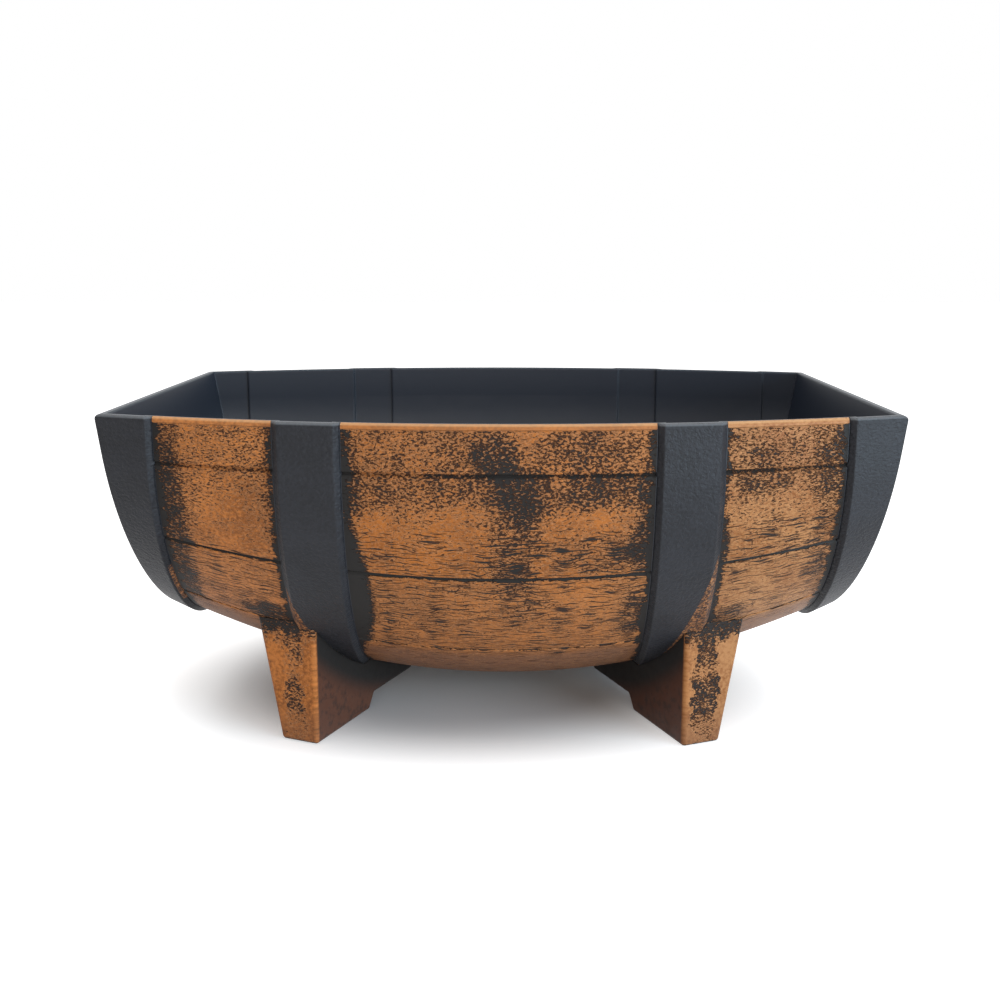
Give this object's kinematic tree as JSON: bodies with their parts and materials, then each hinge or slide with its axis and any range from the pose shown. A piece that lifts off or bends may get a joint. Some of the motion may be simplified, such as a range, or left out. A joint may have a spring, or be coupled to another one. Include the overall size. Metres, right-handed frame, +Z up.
{
  "type": "barrel planter",
  "caption": "Half-barrel planter lying on splayed legs: an open moulded tub with stave grooves, raised bands, leaning end walls and drain plugs in the belly.",
  "frame": {"origin": "on the floor, under the middle of the tub", "axes": "+X along the barrel, +Y from the front to the back, +Z up"},
  "size_m": [0.415, 0.3, 0.185],
  "materials": {
    "painted_stave_resin": "orange-brown paint brushed over grained charcoal resin, bare and semi-gloss inside",
    "dark_band_resin": "charcoal resin with a fine grain",
    "painted_leg_resin": "orange-brown paint over charcoal resin",
    "screw_steel": "plain zinc-plated steel",
    "plug_rubber": "black rubber"
  },
  "bodies": {
    "planter": {"tub": "painted_stave_resin", "band_left_end": "dark_band_resin", "band_left_middle": "dark_band_resin", "band_right_middle": "dark_band_resin", "band_right_end": "dark_band_resin", "leg_front_left": "painted_leg_resin", "leg_front_right": "painted_leg_resin", "leg_back_left": "painted_leg_resin", "leg_back_right": "painted_leg_resin", "screw_foot_front_left": "screw_steel", "screw_foot_front_right": "screw_steel", "screw_foot_back_left": "screw_steel", "screw_foot_back_right": "screw_steel", "screw_web_front_left": "screw_steel", "screw_web_front_right": "screw_steel", "screw_web_back_left": "screw_steel", "screw_web_back_right": "screw_steel"},
    "drain_plug_left": {"drain_plug_left": "plug_rubber"},
    "drain_plug_middle": {"drain_plug_middle": "plug_rubber"},
    "drain_plug_right": {"drain_plug_right": "plug_rubber"}
  },
  "joints": [
    {"name": "drain_plug_left_pull", "type": "slide", "parent": "planter", "child": "drain_plug_left", "axis": [0, 0, -1], "range_m": [0, 0.007]},
    {"name": "drain_plug_middle_pull", "type": "slide", "parent": "planter", "child": "drain_plug_middle", "axis": [0, 0, -1], "range_m": [0, 0.007]},
    {"name": "drain_plug_right_pull", "type": "slide", "parent": "planter", "child": "drain_plug_right", "axis": [0, 0, -1], "range_m": [0, 0.007]}
  ]
}
